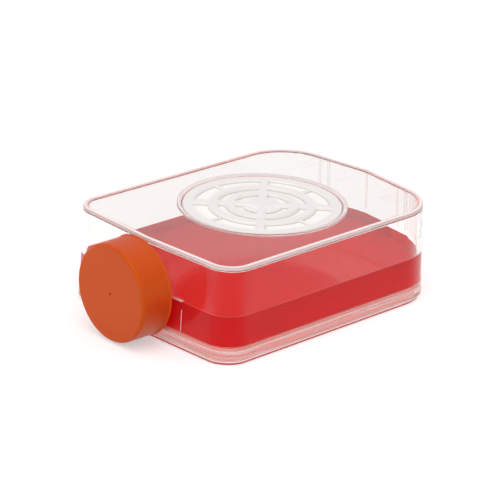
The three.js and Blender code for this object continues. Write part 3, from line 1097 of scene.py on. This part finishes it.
class FLASK_OT_medium(bpy.types.Operator):
    """Models the red medium in the chamber and in the lower half of the neck"""

    bl_idname = "flask.medium"
    bl_label = "Medium"

    def execute(self, context):
        body, liquid = settings("flask_body"), settings("flask_medium")
        bottom = FLOOR_LEVEL - liquid.wetting
        medium = body_plan("medium", body.wall - liquid.wetting, bottom)
        raise_plan(bottom, MEDIUM_EDGE)
        pick("faces", at_level(MEDIUM_EDGE))
        for width in (liquid.curve, 1 - liquid.curve):
            bpy.ops.mesh.inset(thickness=liquid.fillet * width, use_even_offset=True)
            bpy.ops.transform.translate(value=(0, 0, -liquid.climb * (1 - width)))
        settle(medium)
        self.neck_share(medium)
        settle(medium, smooth=True)
        hand_over(medium, "flask", "culture_medium", red_medium)
        return {"FINISHED"}

    def neck_share(self, medium):
        """What stands in the neck: a cylinder cut off at the liquid's level."""
        body, liquid = settings("flask_body"), settings("flask_medium")
        middle, half_length, _ = body_frame()
        radius = body.bore_radius + liquid.wetting
        root = half_length - middle - 3 * body.wall
        pool = turned("pool", [(radius, root), (radius, -medium_low[0])])
        on_neck(pool)
        bpy.ops.object.mode_set(mode="EDIT")
        bpy.ops.mesh.select_all(action="SELECT")
        surface = (0, 0, MEDIUM_EDGE - liquid.climb)
        bpy.ops.mesh.bisect(plane_co=surface, plane_no=(0, 0, 1), use_fill=True, clear_outer=True)
        settle(pool)
        combine(medium, pool, "UNION")


# ---- Stage ----


class FLASK_OT_stage(bpy.types.Operator):
    """Sets up the bench, the soft light and the camera"""

    bl_idname = "flask.stage"
    bl_label = "Stage"

    def execute(self, context):
        self.bench()
        self.world(context.scene)
        self.lamps()
        self.camera(context.scene)
        self.render_settings(context.scene)
        return {"FINISHED"}

    def bench(self):
        """A wide pale bench, white but for a faint shadow, and as white where a piece mirrors it."""
        stage, finishes = settings("flask_stage"), settings("flask_finishes")
        width, clearance = 20, 0.02 * MM  # it lies just under the foot
        deselect()
        bpy.ops.mesh.primitive_plane_add(size=width, location=(0, 0, -clearance))
        bench = added("bench")
        material, tree = new_material("Pale Bench")
        matt = add_node(tree, "BsdfDiffuse", Color=opaque(finishes.floor))
        rays = (
            add_node(tree, "LightPath", out=ray)
            for ray in ("Is Camera Ray", "Is Glossy Ray", "Is Transmission Ray")
        )
        level = all_of(tree, most(tree, *rays), stage.bench_glow)
        glow = add_node(tree, "Emission", Color=opaque((1, 1, 1)), Strength=level)
        add_node(tree, "OutputMaterial", Surface=add_node(tree, "AddShader", matt, glow))
        bench.data.materials.append(material)

    def world(self, scene):
        """Soft room light, brighter overhead and behind the camera than beyond the flask."""
        stage = settings("flask_stage")
        world = bpy.data.worlds.new("soft_room")
        world.use_nodes = True
        scene.world = world
        tree = world.node_tree
        tree.nodes.clear()
        direction = add_node(tree, "TexCoord", out="Generated")
        brightest = stage.azimuth - stage.bright_side
        behind = (math.sin(brightest), -math.cos(brightest), 0)
        near = add_node(tree, "VectorMath", direction, behind, operation="DOT_PRODUCT", out="Value")
        swing = 0.6  # how far towards either side the low light keeps changing
        far, close = stage.far_horizon, stage.near_horizon
        horizon = add_node(tree, "MapRange", near, -swing, swing, far, close)
        height = add_node(tree, "SeparateXYZ", direction, out="Z")
        low, high = 0.45, 0.9  # heights between which the low light gives way to the light overhead
        light = add_node(tree, "MapRange", height, low, high, horizon, stage.zenith)
        sky = add_node(tree, "Background", Color=opaque((1, 1, 1)), Strength=light)
        add_node(tree, "OutputWorld", Surface=sky)

    def lamps(self):
        """One large soft lamp overhead and one from the camera's left."""
        for name, place, size in (
            ("overhead_lamp", (-0.2, -0.2, 0.9), 0.5),
            ("left_lamp", (-0.9, -0.2, 0.6), 0.6),
        ):
            deselect()
            bpy.ops.object.light_add(type="AREA", location=place)
            lamp = bpy.context.object
            lamp.name = name
            lamp.data.size = size
            lamp.data.energy = settings("flask_stage").lamp_power
            lamp.rotation_euler = (-Vector(place)).to_track_quat("-Z", "Y").to_euler()

    def camera(self, scene):
        """A long lens, looking down at the neck end's near corner."""
        stage = settings("flask_stage")
        turn, rise, roll = stage.azimuth, stage.elevation, stage.roll
        out = math.cos(rise)
        back = Vector((math.sin(turn) * out, -math.cos(turn) * out, math.sin(rise)))
        level_right = Vector((math.cos(turn), math.sin(turn), 0))
        level_up = back.cross(level_right)
        right = math.cos(roll) * level_right + math.sin(roll) * level_up
        up = back.cross(right)
        aim = Vector((body_frame()[0], 0, stage.aim_height)) + right * stage.aim_across
        deselect()
        bpy.ops.object.camera_add()
        camera = bpy.context.object
        camera.name = "camera"
        turned_to = Matrix((right, up, back)).transposed().to_4x4()
        camera.matrix_world = Matrix.Translation(aim + back * stage.distance) @ turned_to
        camera.data.lens = stage.lens
        camera.data.sensor_width = 36  # mm, full frame
        scene.camera = camera

    def render_settings(self, scene):
        """Plain view transform, and enough bounces for light to cross the stacked clear walls."""
        scene.view_settings.view_transform = "Standard"
        clear_bounces = 512
        scene.cycles.max_bounces = clear_bounces
        scene.cycles.transmission_bounces = clear_bounces
        scene.cycles.glossy_bounces = clear_bounces
        scene.cycles.diffuse_bounces = 6
        scene.cycles.blur_glossy = 0


class FLASK_PT_pieces(bpy.types.Panel):
    """Lists the flask's pieces in the sidebar"""

    bl_label = "Cell Culture Flask"
    bl_space_type = "VIEW_3D"
    bl_region_type = "UI"
    bl_category = "Flask"

    def draw(self, context):
        for operator in OPERATORS:
            self.layout.operator(operator.bl_idname)


GROUPS = {
    "flask_body": FlaskBodySizes,
    "flask_thread": FlaskThreadSizes,
    "flask_vent": FlaskVentSizes,
    "flask_cap": FlaskCapSizes,
    "flask_medium": FlaskMediumSizes,
    "flask_finishes": FlaskFinishes,
    "flask_stage": FlaskStageSettings,
}
OPERATORS = (
    FLASK_OT_lid, FLASK_OT_tray, FLASK_OT_vent, FLASK_OT_cap, FLASK_OT_medium, FLASK_OT_stage,
)


def register():
    """Registers the settings, the operators and the panel."""
    for name, group in GROUPS.items():
        bpy.utils.register_class(group)
        setattr(bpy.types.Scene, name, bpy.props.PointerProperty(type=group))
    for operator in OPERATORS:
        bpy.utils.register_class(operator)
    bpy.utils.register_class(FLASK_PT_pieces)


def unregister():
    """Takes the settings, the operators and the panel out again."""
    bpy.utils.unregister_class(FLASK_PT_pieces)
    for operator in reversed(OPERATORS):
        bpy.utils.unregister_class(operator)
    for name, group in GROUPS.items():
        delattr(bpy.types.Scene, name)
        bpy.utils.unregister_class(group)


def main():
    register()
    bpy.ops.flask.lid()
    bpy.ops.flask.tray()
    bpy.ops.flask.vent()
    bpy.ops.flask.cap()
    bpy.ops.flask.medium()
    bpy.ops.flask.stage()


if __name__ == "__main__":
    main()
